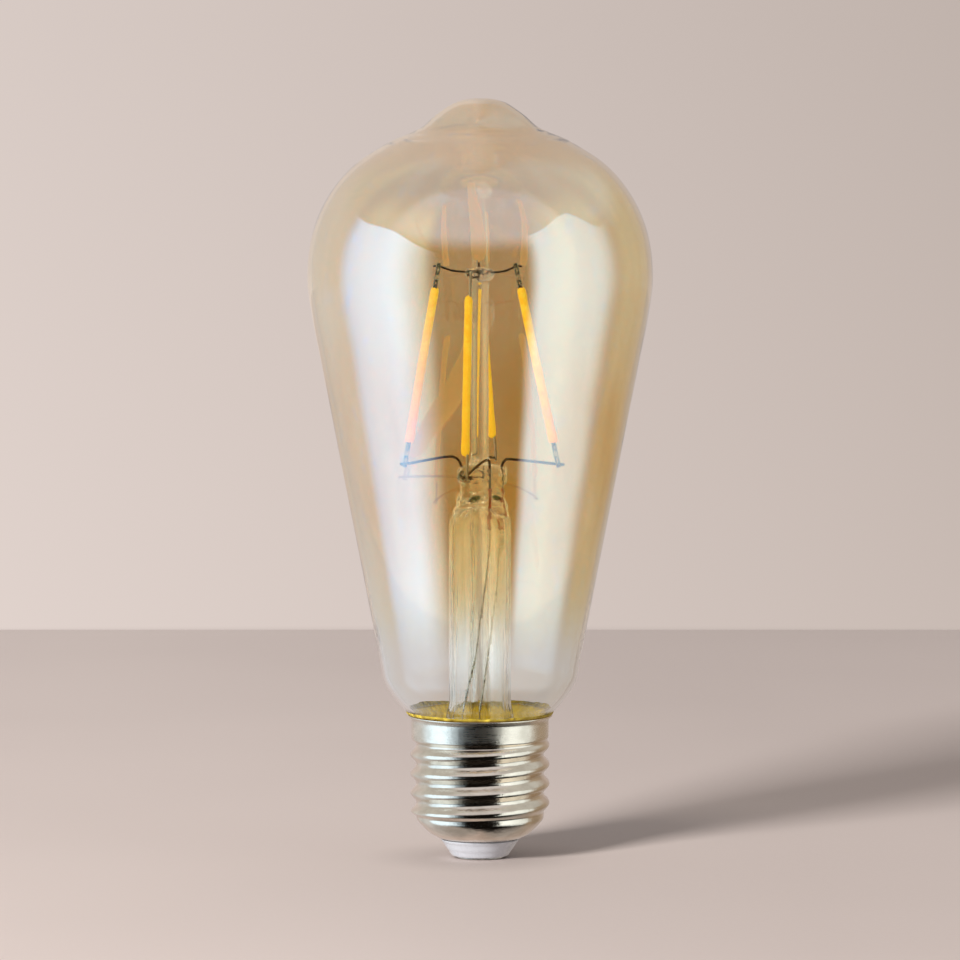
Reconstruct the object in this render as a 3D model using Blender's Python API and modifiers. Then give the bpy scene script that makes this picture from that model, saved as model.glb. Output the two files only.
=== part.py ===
"""LED filament bulb with an Edison screw cap and a wireless driver in the cap.

Metres, +Z up. The origin is the middle of the centre contact's lower face, and the bulb stands on it.
Outlines are (radius, height) pairs in millimetres, from the top of the outer side to the bottom.
"""

import math

import bmesh
import bpy
from mathutils import Matrix, Vector

MM = 0.001
GAP = 0.3

# Glass envelope
GLASS_WALL = 0.8
GLASS_SEGMENTS = 32
GLASS_MAX_RADIUS = 32.25
GLASS_MAX_HEIGHT = 109.3
GLASS_TOP = 142.25
CONE_TOP = (31.4, 101.8)
CONE_FOOT = (18.6, 36.4)
NECK_RADIUS = 10.4
NECK_FOOT = 22.8
CURVE_STEPS = 2

# Glass stem
STEM_RADIUS = 5.8
STEM_WALL = 0.9
STEM_SEGMENTS = 20
PINCH_WIDTH = 9.3
PINCH_DEPTH = 5.6
PINCH_FOOT = 66.6
PINCH_TOP = 73.8
PINCH_OFFSET = 0.3
PINCH_ROUNDING = 1.2
EXHAUST_RADIUS = 1.95
EXHAUST_WALL = 0.7
EXHAUST_TOP = 65.8
EXHAUST_TIP = 19.0
ROD_RADIUS = 1.6
BUTTON_RADIUS = 2.7
BUTTON_TOP = 110.8
BUTTON_FOOT = 108.15

# LED filaments: name, compass angle and radius of the top end, then of the foot, and height of the top
FILAMENTS = (
    ("front", -105.2, 8.0, -101.4, 13.8, 106.0),
    ("left", 168.0, 8.5, 168.0, 13.6, 107.1),
    ("back", 89.4, 8.0, 80.2, 13.6, 107.2),
    ("right", -12.0, 7.7, -12.0, 14.1, 107.3),
)
FILAMENT_LENGTH = 30.0
FILAMENT_RADIUS = 0.85
TAB_WIDTH = 1.0
TAB_THICKNESS = 0.3
TAB_LENGTH = 3.0

# Wires
TOP_WIRE_RADIUS = 0.2
WIRE_OVERHANG = 0.9
WIRE_SAG = 0.25
INNER_LEAD_RADIUS = 0.25
DUMET_RADIUS = 0.25
OUTER_LEAD_RADIUS = 0.18
FRONT_SEAL = (1.8, -1.9)
RIGHT_SEAL = (4.1, -0.6)
DUMET_FOOT = 62.0
DUMET_TOP = 69.3
WIRE_SIDES_RESOLUTION = 1

# Screw cap
CAP_WALL = 0.3
CAP_SEGMENTS = 32
SKIRT_RADIUS = 12.85
RIM_RADIUS = 13.6
RIM_TOP = 26.9
THREAD_MAJOR_RADIUS = 13.05
THREAD_ROOT_RADIUS = 11.95
THREAD_PITCH = 3.62
THREAD_TOP = 22.8
THREAD_FOOT = 7.7
THREAD_RUN_OUT = 1.2
THREAD_ROWS = 28
THREAD_START = 17.61
SHELL_FOOT = (7.7, 3.75)
CONTACT_RADIUS = 4.5
CONTACT_THICKNESS = 0.7

# Driver
BOARD_RADIUS = 10.2
BOARD_FOOT = 12.0
BOARD_THICKNESS = 1.0
SLEEVE_RADIUS = 11.2
SLEEVE_WALL = 0.4
SLEEVE_FOOT = 8.2
SLEEVE_TOP = 18.8
MODULE_THICKNESS = 0.8

PARTS = "filament_bulb"
CUTTERS = "cutters"


def clear_scene():
    for old in list(bpy.data.objects):
        bpy.data.objects.remove(old, do_unlink=True)


def new_collection(name):
    group = bpy.data.collections.new(name)
    bpy.context.scene.collection.children.link(group)
    return group


def material(name, colour, roughness, metallic=0.0, transmission=0.0):
    finish = bpy.data.materials.new(name)
    finish.use_nodes = True
    shader = finish.node_tree.nodes["Principled BSDF"]
    shader.inputs["Base Color"].default_value = (*colour, 1.0)
    shader.inputs["Roughness"].default_value = roughness
    shader.inputs["Metallic"].default_value = metallic
    shader.inputs["Transmission Weight"].default_value = transmission
    finish.diffuse_color = (*colour, 1.0)
    return finish


def add_object(name, data, finish=None):
    """Links a new object, among the parts if it has a finish and among the cutters if not."""
    made = bpy.data.objects.new(name, data)
    group = PARTS if finish else CUTTERS
    bpy.data.collections[group].objects.link(made)
    if finish:
        data.materials.append(finish)
    else:
        made.hide_render = True
        made.display_type = "WIRE"
    return made


def in_metres(points):
    return [Vector(point) * MM for point in points]


def smooth_step(value):
    share = min(max(value, 0.0), 1.0)
    return share * share * (3.0 - 2.0 * share)


def smooth_curve(points, steps):
    """Points along a Catmull-Rom curve through the given ones."""
    ends = [2 * points[0] - points[1]] + points + [2 * points[-1] - points[-2]]
    curve = []
    for before, start, end, after in zip(ends, ends[1:], ends[2:], ends[3:]):
        for step in range(steps):
            share = step / steps
            linear = (end - before) * share
            square = (2 * before - 5 * start + 4 * end - after) * share**2
            cube = (3 * start - before - 3 * end + after) * share**3
            curve.append(start + 0.5 * (linear + square + cube))
    curve.append(points[-1])
    return curve


def smooth_outline(stations, steps):
    """A turned outline smoothed between its stations."""
    curve = smooth_curve([Vector(station) for station in stations], steps)
    return [(max(point.x, 0.0), point.y) for point in curve]


# Ways of making a solid


def turned(name, outline, segments, finish, wall=0.0, loop=False):
    """A turned body: a full outline from axis to axis, a closed loop, or a wall on an open outline."""
    mesh = bpy.data.meshes.new(name)
    edges = [(index, index + 1) for index in range(len(outline) - 1)]
    if loop:
        edges.append((len(outline) - 1, 0))
    mesh.from_pydata([(radius * MM, 0.0, height * MM) for radius, height in outline], edges, [])
    made = add_object(name, mesh, finish)
    screw = made.modifiers.new("turn", "SCREW")
    screw.axis = "Z"
    screw.angle = math.tau
    screw.steps = segments
    screw.render_steps = segments
    screw.use_merge_vertices = True
    screw.merge_threshold = 0.00001
    if wall:
        add_wall(made, wall)
    return made


def add_wall(made, wall):
    """Thickens an open surface inwards."""
    solidify = made.modifiers.new("wall", "SOLIDIFY")
    solidify.thickness = wall * MM
    solidify.offset = -1.0
    solidify.use_even_offset = True


def wire(name, points, radius, finish=None):
    """A round wire through the given points, with closed ends."""
    curve = bpy.data.curves.new(name, "CURVE")
    curve.dimensions = "3D"
    curve.bevel_depth = radius * MM
    curve.bevel_resolution = WIRE_SIDES_RESOLUTION
    curve.use_fill_caps = True
    spline = curve.splines.new("POLY")
    spline.points.add(len(points) - 1)
    for target, point in zip(spline.points, in_metres(points)):
        target.co = (*point, 1.0)
    return add_object(name, curve, finish)


def smooth_wire(name, points, radius, finish=None, steps=2):
    """A round wire along a smooth curve through the given points."""
    curve = smooth_curve([Vector(point) for point in points], steps)
    return wire(name, curve, radius, finish)


def as_mesh(curved):
    """Turns a curve object into a welded mesh object of the same name and group."""
    bpy.context.view_layer.update()
    evaluated = curved.evaluated_get(bpy.context.evaluated_depsgraph_get())
    mesh = bpy.data.meshes.new_from_object(evaluated)
    shape = bmesh.new()
    shape.from_mesh(mesh)
    bmesh.ops.remove_doubles(shape, verts=shape.verts, dist=0.000001)
    shape.to_mesh(mesh)
    shape.free()
    name = curved.name
    place = curved.matrix_world.copy()
    bpy.data.objects.remove(curved, do_unlink=True)
    made = add_object(name, mesh)
    made.matrix_world = place
    return made


def block(name, size, centre, finish=None, rounding=0.0, rounding_segments=1):
    """A box with its edges rounded."""
    mesh = bpy.data.meshes.new(name)
    shape = bmesh.new()
    bmesh.ops.create_cube(shape, size=1.0)
    bmesh.ops.scale(shape, vec=Vector(size) * MM, verts=shape.verts)
    shape.to_mesh(mesh)
    shape.free()
    made = add_object(name, mesh, finish)
    made.location = Vector(centre) * MM
    if rounding:
        bevel = made.modifiers.new("rounded_edges", "BEVEL")
        bevel.width = rounding * MM
        bevel.segments = rounding_segments
        bevel.limit_method = "NONE"
    return made


def combine(made, tool, operation):
    """Adds a Boolean of the tool to the object: UNION or DIFFERENCE."""
    boolean = made.modifiers.new(operation.lower(), "BOOLEAN")
    boolean.operation = operation
    boolean.object = tool


def barrel(radius, length, rounding):
    """The outline of a cylinder with small round edges, centred on its own origin."""
    half = length / 2
    return [
        (0.0, half),
        (radius - rounding, half),
        (radius, half - rounding),
        (radius, rounding - half),
        (radius - rounding, -half),
        (0.0, -half),
    ]


# Glass


def envelope_outline():
    """Pip, shoulder, straight cone and neck of the glass."""
    pip = [(0.0, GLASS_TOP), (4.4, 141.6), (8.1, 139.3), (10.7, 137.0), (13.4, 135.7)]
    shoulder = [(17.0, 134.1), (23.5, 129.8), (28.2, 124.2), (31.2, 117.3)]
    widest = [(GLASS_MAX_RADIUS, GLASS_MAX_HEIGHT), CONE_TOP]
    upper = smooth_outline(pip + shoulder + widest, CURVE_STEPS)
    neck = [CONE_FOOT, (18.0, 33.4), (16.7, 31.0), (15.0, 28.8), (13.4, 27.2), (11.5, 25.3)]
    lower = smooth_outline(neck + [(NECK_RADIUS, NECK_FOOT)], CURVE_STEPS)
    middle = []
    spans = 3
    for step in range(1, spans):
        share = step / spans
        radius = CONE_TOP[0] + (CONE_FOOT[0] - CONE_TOP[0]) * share
        height = CONE_TOP[1] + (CONE_FOOT[1] - CONE_TOP[1]) * share
        middle.append((radius, height))
    return upper + middle + lower


def make_envelope(finish):
    turned("glass_envelope", envelope_outline(), GLASS_SEGMENTS, finish, wall=GLASS_WALL)


def make_stem(finish, link_points):
    """The flared tube, closed on top by the pinch, with the holes that its wires run through."""
    dome = [(0.0, 68.6), (2.6, 68.2), (4.5, 66.9), (5.5, 65.0), (STEM_RADIUS, 62.5)]
    flare = [(STEM_RADIUS, 29.5), (6.3, 26.8), (7.6, 24.6), (9.2, 23.1)]
    rim = [(NECK_RADIUS, NECK_FOOT - GAP)]
    stem = turned("flare_stem", dome + flare + rim, STEM_SEGMENTS, finish, wall=STEM_WALL)
    size = (PINCH_WIDTH, PINCH_DEPTH, PINCH_TOP - PINCH_FOOT)
    middle = (PINCH_OFFSET, 0.0, (PINCH_TOP + PINCH_FOOT) / 2)
    pinch = block("pinch", size, middle, rounding=PINCH_ROUNDING, rounding_segments=2)
    combine(stem, pinch, "UNION")
    hole_foot = DUMET_FOOT - 2.0
    hole_top = PINCH_TOP + 2.0
    for side, (x, y) in (("front", FRONT_SEAL), ("right", RIGHT_SEAL)):
        ends = [(x, y, hole_foot), (x, y, hole_top)]
        hole = as_mesh(wire("seal_hole_" + side, ends, DUMET_RADIUS + GAP))
        combine(stem, hole, "DIFFERENCE")
    hole = as_mesh(wire("link_hole", link_points, INNER_LEAD_RADIUS + GAP))
    combine(stem, hole, "DIFFERENCE")


def make_exhaust_tube(finish):
    """A tube that is open in the stem and drawn to a closed tip in the cap."""
    tip = [(EXHAUST_RADIUS, EXHAUST_TIP + 2.2), (1.5, EXHAUST_TIP + 0.8), (0.0, EXHAUST_TIP)]
    outline = [(EXHAUST_RADIUS, EXHAUST_TOP)] + tip
    turned("exhaust_tube", outline, 12, finish, wall=EXHAUST_WALL)


def make_rod_and_button(finish, top_wires):
    rod_top = BUTTON_FOOT - GAP
    rod_foot = PINCH_TOP + GAP
    rod = turned("centre_rod", barrel(ROD_RADIUS, rod_top - rod_foot, 0.25), 12, finish)
    rod.location.z = (rod_top + rod_foot) / 2 * MM
    crown = [(0.0, BUTTON_TOP), (1.6, 110.7), (2.4, 110.3), (BUTTON_RADIUS, 109.6)]
    base = [(2.6, 108.9), (1.9, 108.3), (0.0, BUTTON_FOOT)]
    button = turned("top_button", crown + base, 16, finish)
    for name, points in top_wires:
        hole = as_mesh(wire("hole_" + name, points, TOP_WIRE_RADIUS + GAP))
        combine(button, hole, "DIFFERENCE")


# Filaments and wires


def at_angle(degrees, radius, height):
    """A point at a compass angle round the axis, in millimetres."""
    turn = math.radians(degrees)
    return Vector((radius * math.cos(turn), radius * math.sin(turn), height))


def filament_ends(top_angle, top_radius, foot_angle, foot_radius, top_height):
    """Both ends of a filament."""
    top = at_angle(top_angle, top_radius, top_height)
    foot = at_angle(foot_angle, foot_radius, top_height)
    spread = (top - foot).length
    foot.z -= math.sqrt(FILAMENT_LENGTH**2 - spread**2)
    return top, foot


def lean_matrix(upwards, middle):
    """Places a body whose own +Z is its long axis and whose own +X is to face out from the axis."""
    outwards = Vector((middle.x, middle.y, 0.0))
    outwards = (outwards - upwards * outwards.dot(upwards)).normalized()
    turn = Matrix((outwards, upwards.cross(outwards), upwards)).transposed().to_4x4()
    return Matrix.Translation(middle * MM) @ turn


def make_filament(name, ends, glow, metal):
    """One filament and the metal tabs on its two ends."""
    top, foot = filament_ends(*ends)
    upwards = (top - foot).normalized()
    body = turned("filament_" + name, barrel(FILAMENT_RADIUS, FILAMENT_LENGTH, 0.3), 10, glow)
    body.matrix_world = lean_matrix(upwards, (top + foot) / 2)
    size = (TAB_WIDTH, TAB_THICKNESS, TAB_LENGTH)
    reach = GAP + TAB_LENGTH / 2
    for side, middle in (("upper", top + upwards * reach), ("lower", foot - upwards * reach)):
        tab = block(side + "_tab_" + name, size, (0.0, 0.0, 0.0), metal)
        tab.matrix_world = lean_matrix(upwards, middle)


def beyond_filament(name, tab_end_gap, outwards=0.0):
    """The wire's place at both tabs of a filament: above the upper tab and below the lower one."""
    ends = next(row[1:] for row in FILAMENTS if row[0] == name)
    top, foot = filament_ends(*ends)
    upwards = (top - foot).normalized()
    reach = GAP + TAB_LENGTH + tab_end_gap
    above = top + upwards * reach
    below = foot - upwards * reach
    overhangs = (Vector((end.x, end.y, 0.0)).normalized() * outwards for end in (above, below))
    return above + next(overhangs), below + next(overhangs)


def top_wire_points(first, second, dip):
    """A wire from one upper tab down into the button and up to the tab opposite."""
    clearance = TOP_WIRE_RADIUS + GAP
    points = []
    for name in (first, second):
        tab, _ = beyond_filament(name, clearance)
        flat = Vector((tab.x, tab.y, 0.0)).normalized()
        button_side = Vector((flat.x * 3.1, flat.y * 3.1, dip + 0.1))
        sag = (tab + button_side) / 2 - Vector((0.0, 0.0, WIRE_SAG))
        points.append([tab + flat * WIRE_OVERHANG, tab, sag, button_side])
    return points[0] + [Vector((0.0, 0.0, dip))] + points[1][::-1]


def lower_wire_end(name):
    """The outer end of a lower wire and its place under the lower tab."""
    clearance = INNER_LEAD_RADIUS + GAP
    _, tab = beyond_filament(name, clearance)
    _, end = beyond_filament(name, clearance, outwards=WIRE_OVERHANG)
    return end, tab


def link_wire_points():
    """The wire that joins the left and the back filament through the pinch."""
    left_end, left_tab = lower_wire_end("left")
    back_end, back_tab = lower_wire_end("back")
    left_arm = [left_end, left_tab, Vector((-6.6, 1.4, 75.2)), Vector((-4.4, 1.0, 75.0))]
    in_pinch = [(-3.5, 0.9, 73.6), (-3.4, 0.9, 72.2), (-2.6, 1.1, 71.5)]
    in_pinch += [(0.2, 1.8, 71.5), (1.0, 1.95, 72.2)]
    back_arm = [Vector((1.0, 2.0, 73.9)), Vector((1.3, 3.4, 74.9)), back_tab, back_end]
    return left_arm + [Vector(point) for point in in_pinch] + back_arm


def make_lead(side, seal, arm, route, metal, copper, dumet):
    """One lead in its three parts: inner lead, dumet seal wire and outer lead."""
    x, y = seal
    inner = [Vector((x, y, DUMET_TOP + GAP)), Vector((x, y, PINCH_TOP + 0.2))]
    wire("inner_lead_" + side, inner + arm, INNER_LEAD_RADIUS, metal)
    wire("dumet_seal_" + side, [(x, y, DUMET_FOOT), (x, y, DUMET_TOP)], DUMET_RADIUS, dumet)
    start = [(x, y, DUMET_FOOT - GAP)]
    smooth_wire("outer_lead_" + side, start + route, OUTER_LEAD_RADIUS, copper)


def make_leads(metal, copper, dumet):
    """The leads of the front and the right filament, down to the driver board."""
    board_end = BOARD_FOOT + BOARD_THICKNESS + GAP
    end, tab = lower_wire_end("front")
    arm = [Vector((1.6, -2.6, 74.9)), Vector((0.4, -5.4, 74.8)), tab, end]
    route = [(1.7, -2.7, 58.0), (-0.4, -2.8, 41.0), (-3.0, -2.8, 27.0), (-2.7, -3.4, 20.5)]
    make_lead("front", FRONT_SEAL, arm, route + [(-1.8, -6.5, board_end)], metal, copper, dumet)
    end, tab = lower_wire_end("right")
    arm = [Vector((4.6, -0.8, 74.7)), Vector((6.0, -1.2, 75.0)), tab, end]
    route = [(3.8, -0.9, 58.0), (1.8, -2.7, 41.0), (0.0, -3.6, 27.0), (0.3, -4.0, 20.5)]
    make_lead("right", RIGHT_SEAL, arm, route + [(1.4, -6.5, board_end)], metal, copper, dumet)


# Cap


def thread_radius(angle, height):
    """Radius of the rolled Edison thread, which runs out into the skirt and into the cone."""
    phase = (height - THREAD_START) / THREAD_PITCH - angle / math.tau
    wave = 0.5 + 0.5 * math.cos(math.tau * phase)
    radius = THREAD_ROOT_RADIUS + (THREAD_MAJOR_RADIUS - THREAD_ROOT_RADIUS) * wave
    to_thread = smooth_step((THREAD_TOP - height) / THREAD_RUN_OUT)
    radius = SKIRT_RADIUS + (radius - SKIRT_RADIUS) * to_thread
    to_cone = smooth_step((THREAD_FOOT + THREAD_RUN_OUT - height) / THREAD_RUN_OUT)
    return radius + (THREAD_ROOT_RADIUS - radius) * to_cone


def make_shell(finish):
    """The rolled metal shell: rim, skirt, thread and rounded cone."""
    rim = [(RIM_RADIUS, RIM_TOP), (13.1, 26.5), (SKIRT_RADIUS, 26.0)]
    rows = []
    for row in range(THREAD_ROWS + 1):
        height = THREAD_TOP + (THREAD_FOOT - THREAD_TOP) * row / THREAD_ROWS
        rows.append((THREAD_ROOT_RADIUS, height))
    cone = [(11.2, 6.5), (10.4, 5.6), (9.3, 4.6), SHELL_FOOT]
    guide = turned("shell_guide", rim + rows + cone, CAP_SEGMENTS, None)
    bpy.context.view_layer.update()
    evaluated = guide.evaluated_get(bpy.context.evaluated_depsgraph_get())
    mesh = bpy.data.meshes.new_from_object(evaluated)
    bpy.data.objects.remove(guide, do_unlink=True)
    mesh.name = "cap_shell"
    tolerance = 0.01
    for vertex in mesh.vertices:
        height = vertex.co.z / MM
        if THREAD_FOOT - tolerance < height < THREAD_TOP + tolerance:
            angle = math.atan2(vertex.co.y, vertex.co.x)
            radius = thread_radius(angle, height) * MM
            vertex.co.x = radius * math.cos(angle)
            vertex.co.y = radius * math.sin(angle)
    add_wall(add_object("cap_shell", mesh, finish), CAP_WALL)


def make_cap_ends(insulator, contact):
    """The white insulator in the shell's foot, and the contact in its recess."""
    plug = [(7.1, 4.9), (7.1, 3.45)]
    side = [(7.35, 3.4), (6.9, 2.8), (6.35, 1.9), (5.9, 1.3), (5.55, 0.75), (5.0, 0.35)]
    recess_radius = CONTACT_RADIUS + GAP
    recess_top = CONTACT_THICKNESS + GAP
    bore_radius = 0.8
    hollow = [(recess_radius, 0.35), (recess_radius, recess_top)]
    hollow += [(bore_radius, recess_top), (bore_radius, 4.9)]
    turned("cap_insulator", plug + side + hollow, 24, insulator, loop=True)
    edge = 0.25
    top = [(0.0, CONTACT_THICKNESS), (CONTACT_RADIUS, CONTACT_THICKNESS), (CONTACT_RADIUS, edge)]
    turned("centre_contact", top + [(CONTACT_RADIUS - edge, 0.0), (0.0, 0.0)], 24, contact)


def make_cement(finish):
    """The cement between the neck, the flared foot of the stem and the skirt."""
    outer = [(12.25, 25.6), (12.25, 23.4), (11.35, 22.6), (11.35, 20.6)]
    inner = [(5.2, 20.6), (5.2, 21.1), (10.3, 21.1), (10.75, 21.6)]
    inner += [(10.75, 22.9), (11.75, 25.1)]
    turned("capping_cement", outer + inner, 24, finish, loop=True)


# Driver


def make_boards(sleeve, board, metal, ceramic):
    """The insulating sleeve, the driver board, and the wireless board with what it carries."""
    inner_radius = SLEEVE_RADIUS - SLEEVE_WALL
    outer = [(SLEEVE_RADIUS, SLEEVE_TOP), (SLEEVE_RADIUS, SLEEVE_FOOT)]
    inner = [(inner_radius, SLEEVE_FOOT), (inner_radius, SLEEVE_TOP)]
    turned("insulating_sleeve", outer + inner, 24, sleeve, loop=True)
    disc = turned("driver_board", barrel(BOARD_RADIUS, BOARD_THICKNESS, 0.1), 24, board)
    disc.location.z = (BOARD_FOOT + BOARD_THICKNESS / 2) * MM
    module_foot = BOARD_FOOT + BOARD_THICKNESS + GAP
    module_middle = module_foot + MODULE_THICKNESS / 2
    block("wireless_board", (11.0, 7.5, MODULE_THICKNESS), (0.0, 4.6, module_middle), board)
    on_module = module_foot + MODULE_THICKNESS + GAP
    block("shield_can", (6.6, 6.2, 1.6), (-1.7, 4.6, on_module + 0.8), metal, rounding=0.3)
    block("chip_antenna", (1.6, 5.0, 1.0), (3.9, 4.6, on_module + 0.5), ceramic, rounding=0.15)


def make_components(black, sleeve_green, ferrite, resistor, film, copper):
    """The driver's own components, above and below its board."""
    on_board = BOARD_FOOT + BOARD_THICKNESS + GAP
    chip_height = 1.5
    chip_middle = on_board + chip_height / 2
    block("bridge_rectifier", (4.7, 4.0, chip_height), (-5.6, -3.6, chip_middle), black, rounding=0.2)
    block("driver_chip", (4.9, 3.9, chip_height), (5.3, -3.8, chip_middle), black, rounding=0.2)
    can = turned("smoothing_capacitor", barrel(3.0, 8.0, 0.4), 16, sleeve_green)
    lying = Matrix.Rotation(math.pi / 2, 4, "Y")
    can.matrix_world = Matrix.Translation(Vector((0.0, -4.5, 8.5)) * MM) @ lying
    drum = [(0.0, 2.8), (2.7, 2.8), (2.7, 1.8), (1.9, 1.5)]
    drum += [(radius, -height) for radius, height in drum[::-1]]
    choke = turned("choke", drum, 16, ferrite)
    choke.location = Vector((3.7, 3.5, 8.7)) * MM
    fuse = turned("fusible_resistor", barrel(1.2, 6.2, 0.4), 12, resistor)
    fuse.matrix_world = Matrix.Translation(Vector((-3.2, 5.0, 9.8)) * MM) @ lying
    block("film_capacitor", (2.6, 5.4, 5.0), (-6.5, 0.0, 9.0), film, rounding=0.4)
    live_top = BOARD_FOOT - GAP
    live_foot = CONTACT_THICKNESS + GAP
    wire("live_wire", [(0.0, 0.0, live_foot), (0.0, 0.0, live_top)], 0.4, copper)
    neutral = [(-8.6, -0.6, on_board), (-9.3, -0.6, 16.5), (-9.6, -0.6, 18.9)]
    neutral += [(-10.2, -0.6, 19.8), (-11.1, -0.6, 19.9)]
    wire("neutral_wire", neutral, 0.35, copper)


def build():
    clear_scene()
    new_collection(PARTS)
    new_collection(CUTTERS)
    tinted = material("gold_tinted_glass", (0.83, 0.72, 0.50), 0.03, transmission=1.0)
    clear = material("clear_glass", (0.95, 0.95, 0.93), 0.03, transmission=1.0)
    glow = material("phosphor_silicone", (0.95, 0.60, 0.10), 0.45)
    steel = material("nickel_iron", (0.42, 0.40, 0.38), 0.35, metallic=1.0)
    dumet = material("dumet", (0.55, 0.16, 0.08), 0.40, metallic=0.6)
    copper = material("tinned_copper", (0.78, 0.66, 0.52), 0.30, metallic=1.0)
    nickel = material("nickel_plate", (0.78, 0.76, 0.72), 0.16, metallic=1.0)
    cement = material("capping_cement", (0.62, 0.52, 0.16), 0.85)
    white = material("white_insulator", (0.88, 0.89, 0.93), 0.40)
    solder = material("contact_solder", (0.70, 0.69, 0.66), 0.30, metallic=1.0)
    film = material("sleeve_plastic", (0.85, 0.84, 0.80), 0.50)
    board = material("circuit_board", (0.05, 0.22, 0.12), 0.45)
    tinplate = material("shield_tinplate", (0.72, 0.72, 0.72), 0.30, metallic=1.0)
    ceramic = material("antenna_ceramic", (0.80, 0.80, 0.75), 0.40)
    black = material("chip_epoxy", (0.03, 0.03, 0.03), 0.50)
    can_film = material("capacitor_film", (0.05, 0.08, 0.20), 0.35)
    ferrite = material("ferrite", (0.10, 0.10, 0.11), 0.55)
    resistor = material("resistor_lacquer", (0.20, 0.42, 0.30), 0.45)
    red_dip = material("film_capacitor_dip", (0.50, 0.10, 0.06), 0.40)

    link = link_wire_points()
    top_wires = (
        ("top_wire_left_right", top_wire_points("left", "right", 109.75)),
        ("top_wire_front_back", top_wire_points("front", "back", 108.95)),
    )
    make_envelope(tinted)
    make_stem(clear, link)
    make_exhaust_tube(clear)
    make_rod_and_button(clear, top_wires)
    for name, *ends in FILAMENTS:
        make_filament(name, ends, glow, steel)
    for name, points in top_wires:
        wire(name, points, TOP_WIRE_RADIUS, steel)
    wire("lower_link_wire", link, INNER_LEAD_RADIUS, steel)
    make_leads(steel, copper, dumet)
    make_shell(nickel)
    make_cap_ends(white, solder)
    make_cement(cement)
    make_boards(film, board, tinplate, ceramic)
    make_components(black, can_film, ferrite, resistor, red_dip, copper)
    for made in bpy.data.collections[PARTS].objects:
        if made.type == "MESH":
            made.data.shade_smooth()


build()
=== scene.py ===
"""Looks of the LED filament bulb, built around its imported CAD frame.

Metres, +Z up, the bulb standing on its centre contact. Outlines are (radius, height) in millimetres.
"""

import math

import bmesh
import bpy
import numpy as np
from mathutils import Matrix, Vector, noise


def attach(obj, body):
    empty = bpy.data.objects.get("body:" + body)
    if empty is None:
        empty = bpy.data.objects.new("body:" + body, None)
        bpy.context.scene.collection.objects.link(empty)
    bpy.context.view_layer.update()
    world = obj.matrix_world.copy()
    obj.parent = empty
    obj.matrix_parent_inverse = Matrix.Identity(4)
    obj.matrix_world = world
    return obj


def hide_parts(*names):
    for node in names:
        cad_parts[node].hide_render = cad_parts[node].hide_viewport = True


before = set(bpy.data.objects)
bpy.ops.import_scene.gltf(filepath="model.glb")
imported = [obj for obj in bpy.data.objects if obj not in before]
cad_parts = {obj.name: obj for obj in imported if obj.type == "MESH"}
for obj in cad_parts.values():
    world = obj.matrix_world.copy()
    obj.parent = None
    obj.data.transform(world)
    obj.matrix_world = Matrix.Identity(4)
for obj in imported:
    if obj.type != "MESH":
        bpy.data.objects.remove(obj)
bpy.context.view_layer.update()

MM = 0.001
BODY = "root"

# Glass, as part.py has it
GLASS_WALL = 0.8
GLASS_MAX_RADIUS = 32.25
ENVELOPE_UPPER = (
    (0.0, 142.25), (4.4, 141.6), (8.1, 139.3), (10.7, 137.0), (13.4, 135.7), (17.0, 134.1),
    (23.5, 129.8), (28.2, 124.2), (31.2, 117.3), (32.25, 109.3), (31.4, 101.8),
)
ENVELOPE_LOWER = (
    (18.6, 36.4), (18.0, 33.4), (16.7, 31.0), (15.0, 28.8), (13.4, 27.2), (11.5, 25.3), (10.4, 22.8),
)
TINT_FOOT = 36.5
TINT_FULL = 54.0
STEM_WALL = 0.9
EXHAUST_RADIUS = 1.95
EXHAUST_WALL = 0.7
ROD_RADIUS = 1.6

# Wires, as part.py has them
WIRE_OVERHANG = 0.9
TAB_WIDTH = 0.85
TAB_THICKNESS = 0.34
TAB_PAST_WIRE = 0.6
TOP_WIRE_RADIUS = 0.2
LOWER_WIRE_RADIUS = 0.25
DUMET_RADIUS = 0.27
OUTER_LEAD_RADIUS = 0.18
FRONT_SEAL = (1.8, -1.9)
RIGHT_SEAL = (4.1, -0.6)
DUMET_FOOT = 62.0
DUMET_TOP = 69.3

# Screw cap, as part.py has it
CAP_WALL = 0.3
SKIRT_RADIUS = 12.85
THREAD_MAJOR_RADIUS = 13.05
THREAD_ROOT_RADIUS = 11.95
THREAD_PITCH = 3.62
THREAD_TOP = 22.8
THREAD_FOOT = 7.7
THREAD_RUN_OUT = 1.2
THREAD_START = 17.61


# Curves and surfaces


def around(angle, radius, height):
    """The point at an angle round the bulb's axis."""
    return radius * math.cos(angle), radius * math.sin(angle), height


def smooth_step(value):
    share = min(max(value, 0.0), 1.0)
    return share * share * (3.0 - 2.0 * share)


def smooth_curve(points, steps, before=None):
    """Points along a Catmull-Rom curve through the given ones, which may come from a point before."""
    points = [Vector(point) for point in points]
    before = Vector(before) if before else 2 * points[0] - points[1]
    ends = [before] + points + [2 * points[-1] - points[-2]]
    curve = []
    for before, start, end, after in zip(ends, ends[1:], ends[2:], ends[3:]):
        for step in range(steps):
            share = step / steps
            linear = (end - before) * share
            square = (2 * before - 5 * start + 4 * end - after) * share**2
            cube = (3 * start - before - 3 * end + after) * share**3
            curve.append(start + 0.5 * (linear + square + cube))
    curve.append(points[-1])
    return curve


def along(stations, value):
    """The row of numbers at a place in a table whose first column rises, smoothed between rows."""
    if value <= stations[0][0]:
        return stations[0][1:]
    for low, high in zip(stations, stations[1:]):
        if value <= high[0]:
            share = smooth_step((value - low[0]) / (high[0] - low[0]))
            return [a + (b - a) * share for a, b in zip(low[1:], high[1:])]
    return stations[-1][1:]


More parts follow.
